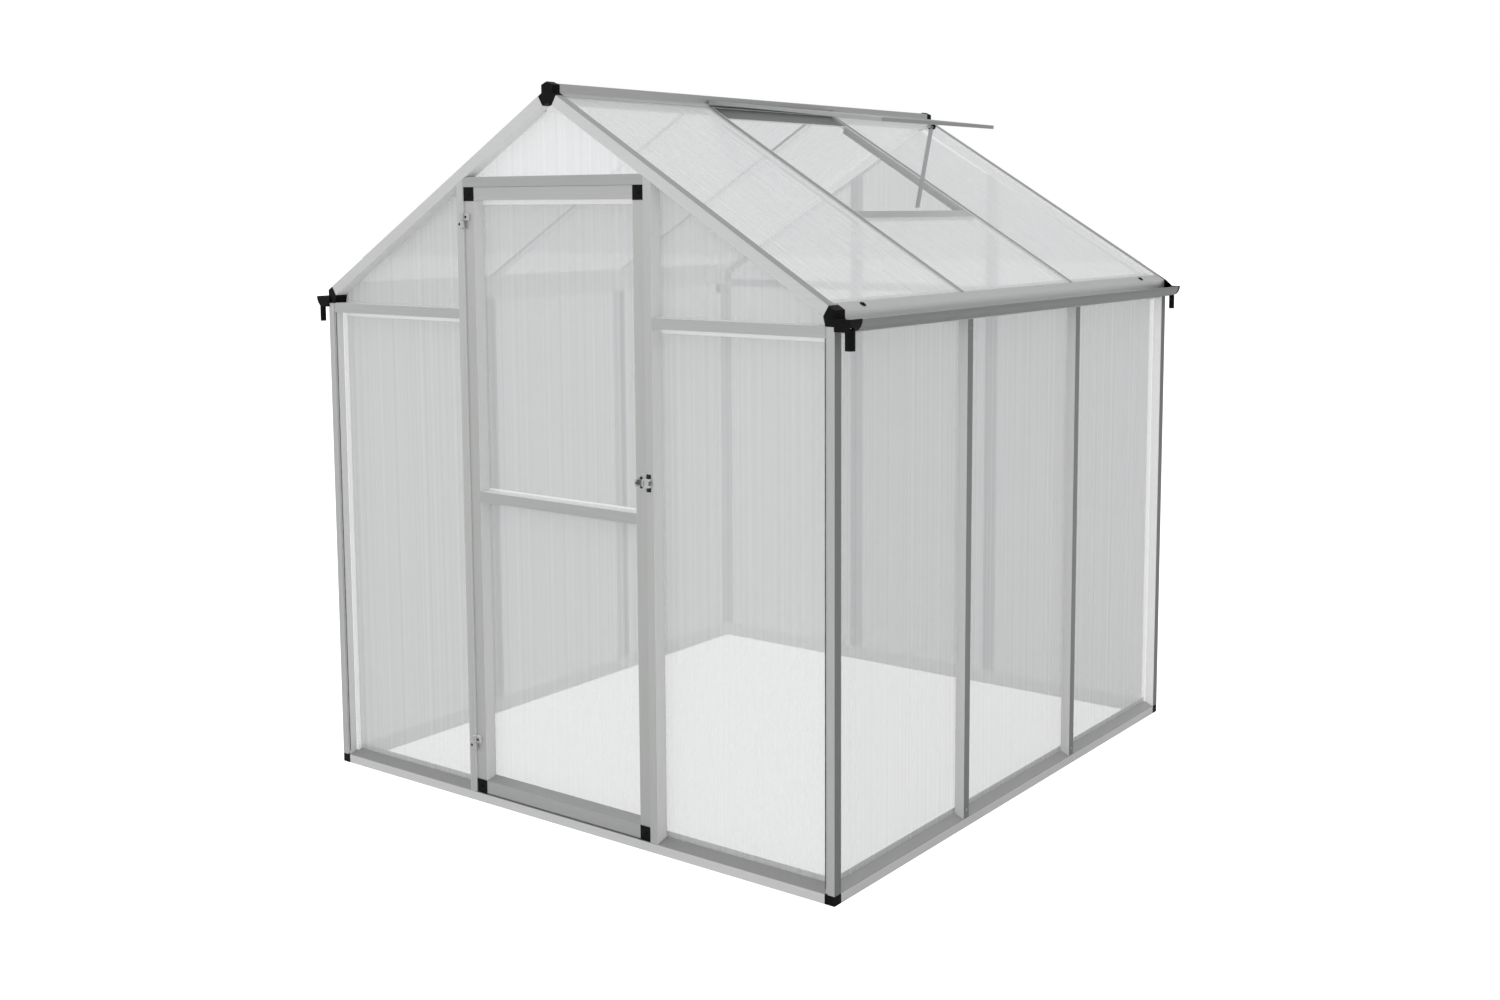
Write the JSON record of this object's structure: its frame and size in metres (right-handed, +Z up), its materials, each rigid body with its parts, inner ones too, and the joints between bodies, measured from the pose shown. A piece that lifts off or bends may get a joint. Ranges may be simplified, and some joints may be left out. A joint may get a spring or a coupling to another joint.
{
  "type": "walk-in greenhouse",
  "caption": "Walk-in garden greenhouse with an aluminium frame, twin-wall sheet glazing, gable roof with eave gutters, hinged door with a sliding bolt and a propped roof vent.",
  "frame": {"origin": "middle of the outer box at floor level", "axes": "+X to the right seen from the door, -Y out of the door gable, +Z up"},
  "size_m": [1.852, 1.8654, 1.943],
  "materials": {
    "aluminium": "mill finish extrusions, satin",
    "twin_wall_sheet": "clear twin-wall polycarbonate, fluted",
    "black_plastic": "moulded, matt",
    "zinc_steel": "zinc plated"
  },
  "bodies": {
    "frame": {"base_corner_front_left": "black_plastic", "base_corner_front_right": "black_plastic", "base_corner_rear_left": "black_plastic", "base_corner_rear_right": "black_plastic", "base_rail_front": "aluminium", "base_rail_left": "aluminium", "base_rail_rear": "aluminium", "base_rail_right": "aluminium", "corner_post_front_left": "aluminium", "corner_post_front_right": "aluminium", "corner_post_rear_left": "aluminium", "corner_post_rear_right": "aluminium", "door_header": "aluminium", "door_jamb_left": "aluminium", "door_jamb_right": "aluminium", "eave_connector_front_left": "black_plastic", "eave_connector_front_right": "black_plastic", "eave_connector_rear_left": "black_plastic", "eave_connector_rear_right": "black_plastic", "eave_gutter_left": "aluminium", "eave_gutter_right": "aluminium", "front_eave_rail_left": "aluminium", "front_eave_rail_right": "aluminium", "front_sheet_left": "twin_wall_sheet", "front_sheet_right": "twin_wall_sheet", "front_sheet_top": "twin_wall_sheet", "gable_rafter_front_left": "aluminium", "gable_rafter_front_right": "aluminium", "gable_rafter_rear_left": "aluminium", "gable_rafter_rear_right": "aluminium", "rear_eave_rail": "aluminium", "rear_post_left": "aluminium", "rear_post_right": "aluminium", "rear_sheet": "twin_wall_sheet", "ridge_bar": "aluminium", "ridge_cap_front": "black_plastic", "ridge_cap_rear": "black_plastic", "roof_bar_left_front": "aluminium", "roof_bar_left_rear": "aluminium", "roof_bar_right_front": "aluminium", "roof_bar_right_rear": "aluminium", "roof_sheet_left": "twin_wall_sheet", "roof_sheet_right": "twin_wall_sheet", "side_post_left_front": "aluminium", "side_post_left_rear": "aluminium", "side_post_right_front": "aluminium", "side_post_right_rear": "aluminium", "vent_sill": "aluminium", "wall_sheet_left": "twin_wall_sheet", "wall_sheet_right": "twin_wall_sheet"},
    "door": {"door_rail_bottom": "aluminium", "door_rail_middle": "aluminium", "door_rail_top": "aluminium", "door_sheet": "twin_wall_sheet", "door_stile_left": "aluminium", "door_stile_right": "aluminium"},
    "latch": {"latch_bolt": "zinc_steel"},
    "vent": {"vent_sash": "aluminium", "vent_sheet": "twin_wall_sheet"},
    "stay": {"vent_stay": "zinc_steel"}
  },
  "joints": [
    {"name": "door_hinge", "type": "hinge", "parent": "frame", "child": "door", "pos_m": [-0.3142, -0.92275, 0.85], "axis": [0, 0, -1], "range_deg": [0, 110]},
    {"name": "latch_slide", "type": "slide", "parent": "door", "child": "latch", "axis": [1, 0, 0], "range_m": [0, 0.012]},
    {"name": "vent_hinge", "type": "hinge", "parent": "frame", "child": "vent", "pos_m": [0.021, 0.00725, 1.914], "axis": [0, -1, 0], "range_deg": [-24.5, 2.5]},
    {"name": "stay_fold", "type": "hinge", "parent": "vent", "child": "stay", "pos_m": [0.58267, -0.00775, 1.84398], "axis": [0, -1, 0], "range_deg": [-85.6, 9]}
  ],
  "couplings": [
    {"joint": "stay_fold", "follows": "vent_hinge", "ratio": 3.475}
  ]
}
